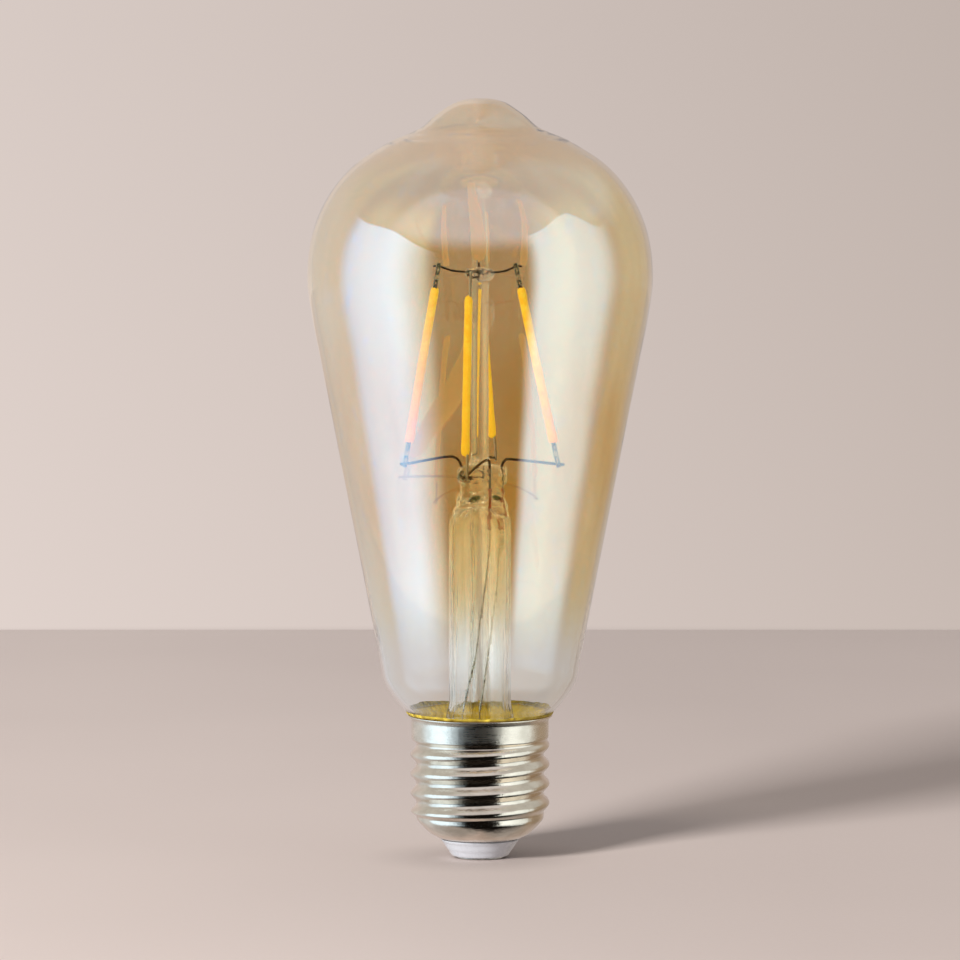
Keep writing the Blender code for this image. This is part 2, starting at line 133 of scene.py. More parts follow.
def inset(outline, depth):
    """An outline moved inwards by a wall's thickness, square to itself."""
    moved = []
    for index, (radius, height) in enumerate(outline):
        before = outline[max(index - 1, 0)]
        after = outline[min(index + 1, len(outline) - 1)]
        run = Vector((after[0] - before[0], after[1] - before[1])).normalized()
        moved.append((max(radius + run.y * depth, 0.0), height - run.x * depth))
    return moved


def loft(rings, loop=False):
    """Vertices and faces of a surface through rings, where a ring of one point closes an end."""
    vertices, faces, starts = [], [], []
    for ring in rings:
        starts.append(len(vertices))
        vertices.extend(ring)
    pairs = list(zip(range(len(rings)), range(1, len(rings))))
    if loop:
        pairs.append((len(rings) - 1, 0))
    for first, second in pairs:
        one, two = starts[first], starts[second]
        count = max(len(rings[first]), len(rings[second]))
        for here in range(count):
            on = (here + 1) % count
            if len(rings[first]) == 1:
                faces.append((one, two + here, two + on))
            elif len(rings[second]) == 1:
                faces.append((one + here, two, one + on))
            else:
                faces.append((one + here, two + here, two + on, one + on))
    return vertices, faces


def turned(outline, segments, shape=None, loop=False):
    """A turned surface in metres. shape(angle, radius, height) may move each point."""
    rings = []
    for radius, height in outline:
        if radius < 0.001:
            rings.append([Vector((0.0, 0.0, height)) * MM])
            continue
        ring = []
        for step in range(segments):
            angle = math.tau * step / segments
            r, z = shape(angle, radius, height) if shape else (radius, height)
            ring.append(Vector(around(angle, r, z)) * MM)
        rings.append(ring)
    return loft(rings, loop)


def swept(points, radius, sides=12, flat=1.0, side=None):
    """A bar with round ends along points in millimetres. radius(share) may vary along it."""
    points = [Vector(point) for point in points]
    size = radius if callable(radius) else (lambda share: radius)
    runs = [(b - a).normalized() for a, b in zip(points, points[1:])]
    tangents = [runs[0]] + [(a + b).normalized() for a, b in zip(runs, runs[1:])] + [runs[-1]]
    across = side or (Vector((0, 0, 1)) if abs(tangents[0].z) < 0.9 else Vector((1, 0, 0)))
    across = (across - tangents[0] * across.dot(tangents[0])).normalized()
    rings = []

    def ring(centre, tangent, width):
        up = tangent.cross(across)
        made = []
        for step in range(sides):
            angle = math.tau * step / sides
            arm = across * (math.cos(angle) * width) + up * (math.sin(angle) * width * flat)
            made.append((centre + arm) * MM)
        return made

    def cap(centre, tangent, width, order):
        return [ring(centre + tangent * width * math.sin(t), tangent, width * math.cos(t)) for t in order]

    turns = [math.radians(angle) for angle in (30, 60, 80)]
    first = cap(points[0], -tangents[0], size(0.0), turns[::-1])
    for made in first:  # the cap's rings are turned the same way as the bar's
        made[1:] = made[:0:-1]
    rings.append([(points[0] - tangents[0] * size(0.0)) * MM])
    rings.extend(first)
    count = len(points) - 1
    for index, (point, tangent) in enumerate(zip(points, tangents)):
        across = (across - tangent * across.dot(tangent)).normalized()
        rings.append(ring(point, tangent, size(index / count)))
    rings.extend(cap(points[-1], tangents[-1], size(1.0), turns))
    rings.append([(points[-1] + tangents[-1] * size(1.0)) * MM])
    return loft(rings)


def placed(name, data):
    """A new object in the scene."""
    made = bpy.data.objects.new(name, data)
    bpy.context.scene.collection.objects.link(made)
    return made


def piece(name, shape, finish, stands_for, bevel=0.0):
    """A named piece of the bulb from vertices and faces in metres, standing for a CAD node."""
    mesh = bpy.data.meshes.new(name)
    mesh.from_pydata([tuple(vertex) for vertex in shape[0]], [], shape[1])
    clean = bmesh.new()
    clean.from_mesh(mesh)
    bmesh.ops.remove_doubles(clean, verts=clean.verts, dist=0.0000005)
    bmesh.ops.recalc_face_normals(clean, faces=clean.faces)
    clean.to_mesh(mesh)
    clean.free()
    mesh.shade_smooth()
    mesh.materials.append(finish)
    made = placed(name, mesh)
    if bevel:
        rounded = made.modifiers.new("rounded_edges", "BEVEL")
        rounded.width = bevel * MM
        rounded.segments = 2
        rounded.limit_method = "ANGLE"
    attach(made, BODY)
    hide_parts(stands_for)


def ripple(point, size, seed=0.0):
    """Smooth noise from -1 to 1 with features of that size in millimetres."""
    return noise.noise(Vector(point) / size + Vector((seed, seed * 1.7, -seed)))


def main_axes(node):
    """Centre, three unit axes and three extents of a CAD node in millimetres, longest first."""
    points = np.array([vertex.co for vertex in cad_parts[node].data.vertices]) / MM
    middle = (points.max(0) + points.min(0)) / 2
    _, vectors = np.linalg.eigh(np.cov((points - points.mean(0)).T))
    axes, sizes = [], []
    for column in (2, 1, 0):
        axis = vectors[:, column]
        reach = points @ axis
        middle = middle + axis * ((reach.max() + reach.min()) / 2 - middle @ axis)
        axes.append(Vector(axis))
        sizes.append(float(reach.max() - reach.min()))
    return Vector(middle), axes, sizes


# Node graphs


class Graph:
    """Short ways to add and join the nodes of one tree."""

    def __init__(self, tree):
        self.tree = tree

    def feed(self, socket, value):
        if isinstance(value, bpy.types.NodeSocket):
            self.tree.links.new(value, socket)
        elif socket.type == "RGBA":
            socket.default_value = (*value[:3], 1.0)
        else:
            socket.default_value = value

    def add(self, kind, inputs=(), **settings):
        node = self.tree.nodes.new("ShaderNode" + kind)
        for key, value in settings.items():
            setattr(node, key, value)
        for socket, value in dict(inputs).items():
            self.feed(node.inputs[socket], value)
        return node

    def math(self, operation, first, second=0.0, clamp=False, third=0.0):
        inputs = {0: first, 1: second, 2: third}
        return self.add("Math", inputs, operation=operation, use_clamp=clamp).outputs[0]

    def plus(self, first, second):
        return self.math("ADD", first, second)

    def minus(self, first, second):
        return self.math("SUBTRACT", first, second)

    def times(self, first, second, clamp=False):
        return self.math("MULTIPLY", first, second, clamp)

    def remap(self, value, low, high, to_low=0.0, to_high=1.0, smooth=True):
        inputs = {"Value": value, "From Min": low, "From Max": high, "To Min": to_low, "To Max": to_high}
        kind = "SMOOTHSTEP" if smooth else "LINEAR"
        return self.add("MapRange", inputs, interpolation_type=kind).outputs["Result"]

    def blend(self, factor, first, second, mode="MIX"):
        node = self.add("Mix", data_type="RGBA", blend_type=mode)
        self.feed(node.inputs[0], factor)
        self.feed(node.inputs[6], first)
        self.feed(node.inputs[7], second)
        return node.outputs[2]

    def scaled(self, colour, share):
        """A colour times a number."""
        grey = self.add("CombineXYZ", {"X": share, "Y": share, "Z": share}).outputs[0]
        return self.blend(1.0, colour, grey, "MULTIPLY")

    def place(self, stretch=(1.0, 1.0, 1.0)):
        where = self.add("TexCoord").outputs["Object"]
        return self.add("Mapping", {"Vector": where, "Scale": stretch}).outputs["Vector"]

    def noise(self, size, detail=3.0, stretch=(1.0, 1.0, 1.0)):
        """Noise from 0 to 1 with features of that size in millimetres."""
        inputs = {"Vector": self.place(stretch), "Scale": 1.0 / (size * MM), "Detail": detail}
        return self.add("TexNoise", inputs).outputs[0]

    def cells(self, size, stretch=(1.0, 1.0, 1.0)):
        inputs = {"Vector": self.place(stretch), "Scale": 1.0 / (size * MM)}
        return self.add("TexVoronoi", inputs).outputs["Distance"]

    def height(self):
        """Height above the floor in millimetres."""
        where = self.add("TexCoord").outputs["Object"]
        up = self.add("SeparateXYZ", {"Vector": where}).outputs["Z"]
        return self.times(up, 1.0 / MM)

    def bump(self, height, depth, strength=1.0, under=None):
        """A bump whose height from 0 to 1 stands for that depth in millimetres."""
        inputs = {"Height": height, "Distance": depth * MM, "Strength": strength}
        if under is not None:
            inputs["Normal"] = under
        return self.add("Bump", inputs).outputs["Normal"]


def new_material(name):
    made = bpy.data.materials.new(name)
    made.use_nodes = True
    graph = Graph(made.node_tree)
    return made, graph, made.node_tree.nodes["Principled BSDF"]


def dress(graph, shader, colour, gloss, normal, **more):
    """Feed a Principled shader. Other inputs come by name, with _ for the spaces."""
    inputs = {"Base Color": colour, "Roughness": gloss, "Normal": normal}
    inputs.update((socket.replace("_", " "), value) for socket, value in more.items())
    for socket, value in inputs.items():
        graph.feed(shader.inputs[socket], value)


def surface(name, dark, light, patch, rough, grain, depth, stretch=(1, 1, 1), **constants):
    """A solid finish: two colours in patches, uneven gloss and a fine grain."""
    made, graph, shader = new_material(name)
    patches = graph.remap(graph.noise(patch, 4.0, stretch), 0.32, 0.68)
    fine = graph.noise(grain, 3.0, stretch)
    mottled = graph.blend(graph.remap(fine, 0.3, 0.7, 0.0, 0.25), graph.blend(patches, dark, light), dark)
    gloss = graph.remap(graph.noise(patch * 0.6, 5.0, stretch), 0.3, 0.7, *rough)
    dress(graph, shader, mottled, gloss, graph.bump(fine, depth), **constants)
    return made


def window(graph, value, low, soft_low, high, soft_high):
    """1 between two limits, fading to 0 over a width inside each."""
    rise = graph.remap(value, low, low + soft_low)
    fall = graph.remap(value, high - soft_high, high, 1.0, 0.0)
    return graph.times(rise, fall)


def let_lamps_through(graph, shader, tint):
    """Shadow rays pass straight through glass, in its own colour."""
    shadow = graph.add("LightPath").outputs["Is Shadow Ray"]
    clear = graph.add("BsdfTransparent", {"Color": tint})
    mix = graph.add("MixShader", {0: shadow, 1: shader.outputs[0], 2: clear.outputs[0]})
    graph.feed(graph.tree.nodes["Material Output"].inputs["Surface"], mix.outputs[0])


# Finishes


def dress_glass(graph, shader, colour, gloss, normal, **more):
    dress(graph, shader, colour, gloss, normal, Transmission_Weight=1.0, IOR=GLASS_IOR, **more)


def tinted_glass():
    """Blown glass whose gold lustre, an interference film over an absorbing one, fades out at the neck."""
    made, graph, bare = new_material("gold_tinted_glass")
    wobble = graph.times(graph.minus(graph.noise(9.0), 0.5), 4.0)
    height = graph.plus(graph.height(), wobble)
    tint = graph.remap(height, TINT_FOOT, TINT_FULL)
    streaks = graph.remap(graph.noise(14.0, 4.0, (1, 1, 0.35)), 0.3, 0.7)
    depth = window(graph, height, AMBER_FOOT, AMBER_FADE, AMBER_TOP, AMBER_FADE)
    amber = graph.blend(graph.times(depth, streaks), AMBER_PALE, AMBER_DEEP)
    smear = graph.noise(5.0, 5.0, (1, 1, 0.4))
    gloss = graph.remap(smear, 0.45, 0.8, 0.0, 0.012)
    waves = graph.bump(graph.noise(16.0, 2.0), 0.02)
    dress_glass(graph, bare, CLEAR_GLASS, gloss, waves)
    lustred = graph.add("BsdfPrincipled")
    dress_glass(
        graph, lustred, amber, gloss, waves, Thin_Film_IOR=LUSTRE_IOR, Thin_Film_Thickness=LUSTRE_FILM,
        Coat_Weight=LUSTRE_COAT, Coat_IOR=LUSTRE_COAT_IOR, Coat_Roughness=0.0)
    glass = graph.add("MixShader", {0: tint, 1: bare.outputs[0], 2: lustred.outputs[0]})
    let_lamps_through(graph, glass, graph.blend(tint, SHADOW_BARE, SHADOW_TINTED))
    return made


# Blow holes of the exhaust tube in the pinch's front: x, height, half width, half height, slope
BLOW_HOLES = ((-1.0, 67.6, 1.25, 0.55, 0.28), (3.1, 67.8, 0.85, 0.5, -0.25))


def blow_hole_mask(graph):
    """1 where the blow holes open on the front of the pinch, where a dark reflection is painted into the
    glass.
    """
    place = graph.add("SeparateXYZ", {"Vector": graph.place((1 / MM, 1 / MM, 1 / MM))}).outputs
    total = 0.0
    for hole_x, hole_z, half_width, half_height, slope in BLOW_HOLES:
        off = graph.minus(place["X"], hole_x)
        rise = graph.minus(place["Z"], graph.math("MULTIPLY_ADD", off, slope, third=hole_z))
        across, up = graph.math("DIVIDE", off, half_width), graph.math("DIVIDE", rise, half_height)
        reach = graph.plus(graph.math("POWER", across, 2.0), graph.math("POWER", up, 2.0))
        total = graph.plus(total, graph.remap(reach, 0.5, 1.2, 1.0, 0.0))
    return graph.times(graph.math("LESS_THAN", place["Y"], 0.0), total, clamp=True)


def clear_glass(name, tint, unevenness, wave_size, wave_depth, piped):
    """Drawn or pressed glass. Above the flare a faint painted glow, in streaks and where its crinkled
    surface turns away from the eye, stands for the light piped in its walls and for highlights on it.
    """
    made, graph, shader = new_material(name)
    cords = graph.remap(graph.noise(2.5, 4.0, (1, 1, 0.3)), 0.35, 0.7)
    holes = blow_hole_mask(graph)
    # Painted reflection: the glass is dark green in the blow holes
    colour = graph.blend(holes, graph.blend(cords, tint, CORD_TINT), BLOW_HOLE_PAINTED_REFLECTION)
    gloss = graph.remap(graph.noise(1.4, 5.0), 0.45, 0.8, 0.0, unevenness)
    height = graph.height()
    pinch = window(graph, height, PINCH_FOOT, 3.0, PINCH_TOP, 0.8)
    pressed = graph.plus(pinch, graph.remap(height, BUTTON_FOOT - 0.8, BUTTON_FOOT))
    crinkles = graph.bump(graph.noise(1.0, 2.0), 0.45, pressed)
    waves = graph.bump(graph.noise(wave_size, 2.0, (1, 1, 0.08)), wave_depth, under=crinkles)
    # Painted highlights: a glow in fine vertical streaks and where the crinkled surface turns away from the
    # eye
    streaks = graph.remap(graph.noise(1.9, 1.0, (1, 1, 0.01)), 0.48, 0.60, 0.0, 0.30)
    facing = graph.add("LayerWeight", {"Blend": 0.5, "Normal": crinkles}).outputs["Facing"]
    lit = graph.remap(height, FLARE_DULL, FLARE_LIT)
    share = graph.times(graph.plus(streaks, graph.remap(facing, 0.5, 0.95)), lit)
    share = graph.times(share, graph.minus(1.0, holes), clamp=True)
    dress_glass(
        graph, shader, colour, gloss, waves, Emission_Color=graph.blend(share, BLACK, piped),
        Emission_Strength=1.0, Coat_Weight=graph.times(lit, GLINT_WEIGHT), Coat_IOR=GLINT_IOR,
        Coat_Roughness=0.0)
    let_lamps_through(graph, shader, SHADOW_CLEAR)
    return made


def phosphor(name, foot_glow):
    """Yellow silicone with a painted glow: the filaments are unlit, and the glow stands for how bright they
    look under the studio light. It changes towards the foot, and is dimmer and redder in mirror images.
    """
    made, graph, shader = new_material(name)
    grain = graph.noise(0.12, 4.0)
    patches = graph.remap(graph.noise(1.3, 4.0), 0.35, 0.65)
    colour = graph.blend(patches, (0.93, 0.47, 0.030), (0.98, 0.60, 0.055))
    pits = graph.remap(graph.cells(0.35), 0.0, 0.25)
    colour = graph.blend(pits, (0.80, 0.36, 0.02), colour)
    gloss = graph.remap(graph.noise(0.8, 4.0), 0.3, 0.7, 0.30, 0.48)
    normal = graph.bump(grain, 0.03, under=graph.bump(graph.noise(1.1, 2.0), 0.08))
    # Painted light: the glow colours, the redder foot and the mirrored glow stand for studio light on the
    # unlit silicone
    glow = graph.blend(patches, (1.0, 0.68, 0.045), (1.0, 0.80, 0.085))
    glow = graph.blend(graph.remap(graph.height(), 80.0, 103.0), foot_glow, glow)
    mirrored = graph.math("GREATER_THAN", graph.add("LightPath").outputs["Glossy Depth"], 0.5)
    dress(
        graph, shader, colour, gloss, normal, Emission_Color=graph.blend(mirrored, glow, MIRRORED_GLOW),
        Emission_Strength=FILAMENT_GLOW, Subsurface_Weight=0.35,
        Subsurface_Radius=(0.0008, 0.0004, 0.0001))
    return made


def nickel():
    """Rolled nickel plate: turned hairlines, soft stains and dark specks, duller on the skirt."""
    made, graph, shader = new_material("nickel_plate")
    stains = graph.remap(graph.noise(3.0, 5.0, (1, 1, 1.6)), 0.35, 0.7)
    colour = graph.blend(stains, (0.82, 0.71, 0.60), (0.70, 0.60, 0.50))
    specks = graph.remap(graph.cells(1.1), 0.03, 0.09)
    colour = graph.blend(specks, (0.46, 0.42, 0.365), colour)
    hairlines = graph.noise(0.16, 3.0, (0.04, 0.04, 1.0))
    gloss = graph.plus(graph.remap(hairlines, 0.3, 0.75, 0.08, 0.14), graph.times(stains, 0.05))
    skirt = graph.remap(graph.height(), THREAD_TOP - 0.6, THREAD_TOP + 0.6)
    gloss = graph.plus(gloss, graph.times(skirt, 0.16))
    dents = graph.bump(graph.noise(2.2, 3.0), 0.06)
    pores = graph.bump(graph.noise(0.22, 3.0), 0.012, under=dents)
    normal = graph.bump(hairlines, 0.004, under=pores)
    dress(graph, shader, colour, gloss, normal, Metallic=1.0)
    return made


def capping_cement():
    """Baked resin cement, olive to gold with lumps. Below the rim, inside the cap, a weak painted glow
    lights it.
    """
    made, graph, shader = new_material("capping_cement")
    lumps = graph.remap(graph.cells(1.3), 0.1, 0.75)
    patches = graph.remap(graph.noise(1.7, 5.0), 0.38, 0.62)
    colour = graph.blend(patches, (0.58, 0.40, 0.03), (0.86, 0.66, 0.08))
    colour = graph.blend(graph.times(lumps, 0.5), colour, (0.26, 0.19, 0.02))
    gloss = graph.remap(graph.noise(0.7, 4.0), 0.3, 0.7, 0.45, 0.75)
    normal = graph.bump(graph.noise(0.35, 4.0), 0.10, under=graph.bump(lumps, 0.30))
    # Painted light: a weak glow on the cement below the rim, inside the cap
    glow = graph.blend(graph.remap(graph.height(), 26.4, 27.2, 0.30, 0.0), BLACK, (0.85, 0.55, 0.02))
    dress(graph, shader, colour, gloss, normal, Emission_Color=glow, Emission_Strength=1.0)
    return made


def board_finish():
    """Green solder mask with copper tracks under it."""
    made, graph, shader = new_material("circuit_board")
    tracks = graph.remap(graph.cells(1.6, (1, 1, 0.01)), 0.40, 0.46)
    colour = graph.blend(tracks, (0.030, 0.150, 0.070), (0.055, 0.240, 0.105))
    gloss = graph.remap(graph.noise(0.9, 4.0), 0.3, 0.7, 0.30, 0.48)
    dress(graph, shader, colour, gloss, graph.bump(tracks, 0.05))
    return made


BLACK = (0.0, 0.0, 0.0)
GLASS_IOR = 1.5
CLEAR_GLASS = (0.985, 0.985, 0.975)
AMBER_DEEP = (0.91, 0.68, 0.24)
AMBER_PALE = (0.985, 0.87, 0.60)
AMBER_FOOT = TINT_FULL - 6.0
AMBER_TOP = 106.0
AMBER_FADE = 26.0
SHADOW_BARE = (0.74, 0.735, 0.73)
SHADOW_TINTED = (0.64, 0.625, 0.61)
SHADOW_CLEAR = (0.93, 0.93, 0.91)
LUSTRE_IOR = 2.2
LUSTRE_FILM = 154.0
LUSTRE_COAT = 0.55
LUSTRE_COAT_IOR = 1.82
GLINT_WEIGHT = 0.8
GLINT_IOR = 1.9
CORD_TINT = (0.97, 0.97, 0.95)
# Dark green painted into the glass in the blow holes, standing for the dark reflections seen there
BLOW_HOLE_PAINTED_REFLECTION = (0.035, 0.05, 0.015)
PINCH_FOOT = 63.5
PINCH_TOP = 75.0
BUTTON_FOOT = 108.2
FLARE_DULL = 28.0
FLARE_LIT = 42.0
# Strength of the painted glow on the unlit filaments, and its colour in mirror images
FILAMENT_GLOW = 0.86
MIRRORED_GLOW = (0.66, 0.36, 0.10)

TINTED = tinted_glass()
STEM_GLASS = clear_glass("clear_glass", (0.99, 0.975, 0.93), 0.02, 3.0, 0.10, (0.22, 0.22, 0.24))
PRESSED_GLASS = clear_glass("pressed_glass", (0.99, 0.97, 0.92), 0.03, 1.2, 0.14, (0.30, 0.31, 0.34))
PHOSPHOR = phosphor("phosphor_silicone", (1.0, 0.74, 0.065))
# The side filaments' copy has a redder painted glow at the foot
PHOSPHOR_SIDE = phosphor("phosphor_silicone_side", (0.90, 0.36, 0.03))
NICKEL = nickel()
CEMENT = capping_cement()
TAB_STEEL = surface(
    "tab_steel", (0.40, 0.37, 0.33), (0.72, 0.69, 0.64), 0.5, (0.14, 0.3), 0.08, 0.008, Metallic=1.0)
# A pale, less metallic copy of the tab steel: a painted highlight for the tabs that stand edge-on to the
# eye
TAB_STEEL_PAINTED_HIGHLIGHT = surface(
    "tab_steel_painted_highlight", (0.78, 0.75, 0.68), (0.95, 0.92, 0.86), 0.5, (0.25, 0.45), 0.08, 0.008,
    Metallic=0.2)
NICKEL_WIRE = surface(
    "nickel_wire", (0.10, 0.075, 0.055), (0.26, 0.20, 0.15), 0.8, (0.28, 0.5), 0.08, 0.008, Metallic=1.0)
DUMET = surface(
    "dumet", (0.42, 0.09, 0.035), (0.70, 0.20, 0.09), 0.6, (0.3, 0.5), 0.08, 0.008, Metallic=0.5)
TINNED = surface(
    "tinned_copper", (0.56, 0.46, 0.33), (0.82, 0.72, 0.55), 0.9, (0.22, 0.4), 0.08, 0.006, Metallic=1.0)
WHITE = surface(
    "white_insulator", (0.69, 0.725, 0.79), (0.73, 0.765, 0.83), 2.6, (0.22, 0.34), 0.25, 0.006,
    Coat_Weight=0.3)
SOLDER = surface(
    "contact_solder", (0.46, 0.44, 0.41), (0.74, 0.72, 0.68), 1.1, (0.22, 0.45), 0.15, 0.02, Metallic=1.0)
SLEEVE = surface(
    "sleeve_plastic", (0.66, 0.64, 0.57), (0.82, 0.80, 0.74), 3.0, (0.35, 0.55), 0.3, 0.01)
BOARD = board_finish()
TINPLATE = surface(
    "shield_tinplate", (0.52, 0.52, 0.53), (0.74, 0.74, 0.74), 1.4, (0.2, 0.38), 0.12, 0.006,
    (1, 0.1, 1), Metallic=1.0)
CERAMIC = surface(
    "antenna_ceramic", (0.62, 0.62, 0.57), (0.82, 0.82, 0.77), 0.8, (0.35, 0.55), 0.1, 0.008)
EPOXY = surface(
    "chip_epoxy", (0.020, 0.020, 0.022), (0.050, 0.050, 0.050), 0.7, (0.4, 0.6), 0.07, 0.008)
CAN_FILM = surface(
    "capacitor_film", (0.025, 0.045, 0.12), (0.06, 0.10, 0.24), 1.8, (0.25, 0.42), 0.2, 0.006)
FERRITE = surface(
    "ferrite", (0.050, 0.050, 0.055), (0.12, 0.12, 0.125), 1.1, (0.45, 0.65), 0.1, 0.02)
LACQUER = surface(
    "resistor_lacquer", (0.11, 0.30, 0.20), (0.24, 0.48, 0.34), 0.9, (0.3, 0.5), 0.15, 0.015)
RED_DIP = surface(
    "film_capacitor_dip", (0.36, 0.055, 0.03), (0.60, 0.14, 0.08), 1.2, (0.25, 0.42), 0.2, 0.02)


# Glass pieces


def envelope_outline(steps):
    """The profile as one smooth curve, with the straight cone as evenly spaced points of it."""
    across_axis = (-ENVELOPE_UPPER[1][0], ENVELOPE_UPPER[1][1])
    start, end = Vector(ENVELOPE_UPPER[-1]), Vector(ENVELOPE_LOWER[0])
    cone = [start.lerp(end, share) for share in (0.11, 0.22, 0.33, 0.44, 0.55, 0.66, 0.77, 0.87, 0.94)]
    points = smooth_curve([*ENVELOPE_UPPER, *cone, *ENVELOPE_LOWER], steps, across_axis)
    return [(min(max(point.x, 0.0), GLASS_MAX_RADIUS), point.y) for point in points]


def blown(angle, radius, height):
    """The slight unevenness of blown glass, all of it inwards, strongest round the drawn tip."""
    tip = smooth_step((height - 131.0) / 5.0)
    depth = 0.06 + 0.16 * tip
    wave = ripple(around(angle, radius, height), 13.0 - 7.0 * tip, 3.1)
    return radius - min(radius, 3.0) / 3.0 * depth * (0.5 + 0.5 * wave), height


def make_envelope():
    outside = envelope_outline(7)
    inside = inset(outside, GLASS_WALL)
    inside[0] = (0.0, outside[0][1] - GLASS_WALL)
    shape = turned(outside + inside[::-1], 256, blown)
    piece("glass_envelope_blown", shape, TINTED, "glass_envelope")


# Height, half width, half depth, offset and squareness of the stem's outside, from the flared foot up
STEM_STATIONS = (
    (22.5, 10.4, 10.4, 0.0, 0.0), (23.1, 9.2, 9.2, 0.0, 0.0), (24.6, 7.6, 7.6, 0.0, 0.0),
    (26.8, 6.3, 6.3, 0.0, 0.0), (29.5, 5.8, 5.8, 0.0, 0.0), (61.5, 5.8, 5.8, 0.0, 0.0),
    (63.2, 5.75, 5.5, 0.0, 0.0), (65.0, 5.35, 4.5, 0.1, 0.15), (66.6, 4.75, 3.4, 0.25, 0.4),
    (68.2, 4.25, 2.7, 0.35, 0.7), (69.6, 4.15, 2.5, 0.3, 0.8), (71.0, 4.4, 2.6, 0.3, 0.8),
    (72.6, 4.6, 2.7, 0.35, 0.7), (73.3, 4.35, 2.45, 0.35, 0.6), (73.75, 3.5, 1.9, 0.3, 0.4),
    (73.95, 2.2, 1.3, 0.2, 0.2),
)
BORE_TOP = 62.0
BORE_DOME = 4.3


def stem_ring(height, count, shrink=0.0, lumps=1.0):
    """One ring of the stem's outside, or of its bore when shrunk by the wall and without lumps."""
    width, depth, offset, square = along(STEM_STATIONS, height)
    power = 2.0 + 2.2 * square
    pressed = smooth_step((height - 63.0) / 4.0) * lumps
    ring = []
    for step in range(count):
        angle = math.tau * step / count
        c, s = math.cos(angle), math.sin(angle)
        reach = (abs(c) ** power + abs(s) ** power) ** (-1.0 / power)
        x, y = c * reach * (width - shrink), s * reach * (depth - shrink)
        at = (x, y, height)
        swell = 0.50 * ripple(at, 1.9, 5.3) + 0.26 * ripple(at, 0.9, 9.1)
        swell += 0.16 * math.cos(3.0 * angle + 0.35 * height)
        out = 1.0 + pressed * (swell - 0.12) / math.hypot(x, y)
        x, y = x * out + offset, y * out
        if y < 0.0 and lumps:
            for hole_x, hole_z, half_width, half_height, slope in BLOW_HOLES:
                across = (x - hole_x) / half_width
                up = (height - hole_z - slope * (x - hole_x)) / half_height
                y += 1.9 * math.exp(-(across**2 + up**2) ** 2)
        ring.append(Vector((x, y, height)) * MM)
    return ring


def make_stem():
    count = 176
    heights = [22.5 + 7.0 * (step / 22) ** 1.6 for step in range(22)]
    heights += [29.5 + 1.6 * step for step in range(20)]
    heights += [61.5 + 0.35 * step for step in range(13)]
    heights += [66.05 + 0.11 * step for step in range(71)] + [73.85, 73.95]
    outside = [stem_ring(height, count) for height in heights]
    middle = Vector((0.2, 0.0, 74.02)) * MM
    crown = []
    for share, rise in ((0.45, 0.05), (0.75, 0.065)):
        crown.append([point.lerp(middle, share) + Vector((0, 0, rise)) * MM for point in outside[-1]])
    crown.append([middle])
    bore = [stem_ring(height, count, STEM_WALL, 0.0) for height in heights if height < BORE_TOP]
    for step in range(1, 9):
        turn = math.radians(90.0 * step / 9)
        dome = stem_ring(BORE_TOP, count, STEM_WALL, 0.0)
        for point in dome:
            point.x *= math.cos(turn)
            point.y *= math.cos(turn)
            point.z = (BORE_TOP + BORE_DOME * math.sin(turn)) * MM
        bore.append(dome)
    bore.append([Vector((0, 0, BORE_TOP + BORE_DOME)) * MM])
    shape = loft(bore[::-1] + outside + crown)
    piece("flare_stem_pressed", shape, PRESSED_GLASS, "flare_stem")


def drawn(angle, radius, height):
    return radius + 0.07 * ripple(around(angle, radius, height), 7.0, 1.3), height


def make_exhaust_tube():
    tip = [(EXHAUST_RADIUS, 21.4), (1.8, 20.6), (1.5, 19.9), (1.0, 19.35), (0.5, 19.05), (0.0, 19.0)]
    outside = [(EXHAUST_RADIUS + 0.5, 65.9), (EXHAUST_RADIUS + 0.15, 65.2)]
    outside += [(EXHAUST_RADIUS, 64.5 - 1.5 * step) for step in range(28)] + tip
    inside = [(EXHAUST_RADIUS - EXHAUST_WALL, 65.9 - 1.5 * step) for step in range(29)]
    inside += [(1.1, 21.6), (0.7, 21.0), (0.0, 20.7)]
    shape = turned(inside[::-1] + outside, 72, drawn)
    piece("exhaust_tube_drawn", shape, STEM_GLASS, "exhaust_tube")


def make_rod():
    outline = [(0.0, 73.85), (2.3, 73.95), (2.05, 74.25), (1.8, 74.8), (1.66, 75.6)]
    outline += [(ROD_RADIUS, 76.5 + 1.25 * step) for step in range(25)]
    outline += [(1.65, 107.3), (1.9, 107.85), (0.0, 107.95)]
    piece("centre_rod_drawn", turned(outline, 72, drawn), STEM_GLASS, "centre_rod")


def lumpy_button(angle, radius, height):
    at = around(angle, radius, height)
    grown = radius * (1.0 + 0.10 * ripple(at, 2.0, 7.7) + 0.05 * math.cos(2 * angle + 0.6))
    return grown, height + 0.16 * ripple(at, 1.6, 2.9)


def make_button():
    stations = [(0.0, 110.5), (0.9, 110.62), (1.8, 110.55), (2.4, 110.25), (2.62, 109.6), (2.5, 108.9)]
    stations += [(2.0, 108.4), (1.2, 108.15), (0.0, 108.1)]
    outline = [(max(point.x, 0.0), point.y) for point in smooth_curve(stations, 5)]
    shape = turned(outline, 80, lumpy_button)
    piece("top_button_lumpy", shape, PRESSED_GLASS, "top_button")


# Filaments, tabs and wires


def filament_ends(name):
    """Foot and top of a CAD filament, in millimetres."""
    middle, axes, sizes = main_axes("filament_" + name)
    axis = axes[0] if axes[0].z > 0 else -axes[0]
    return middle - axis * sizes[0] / 2, middle + axis * sizes[0] / 2


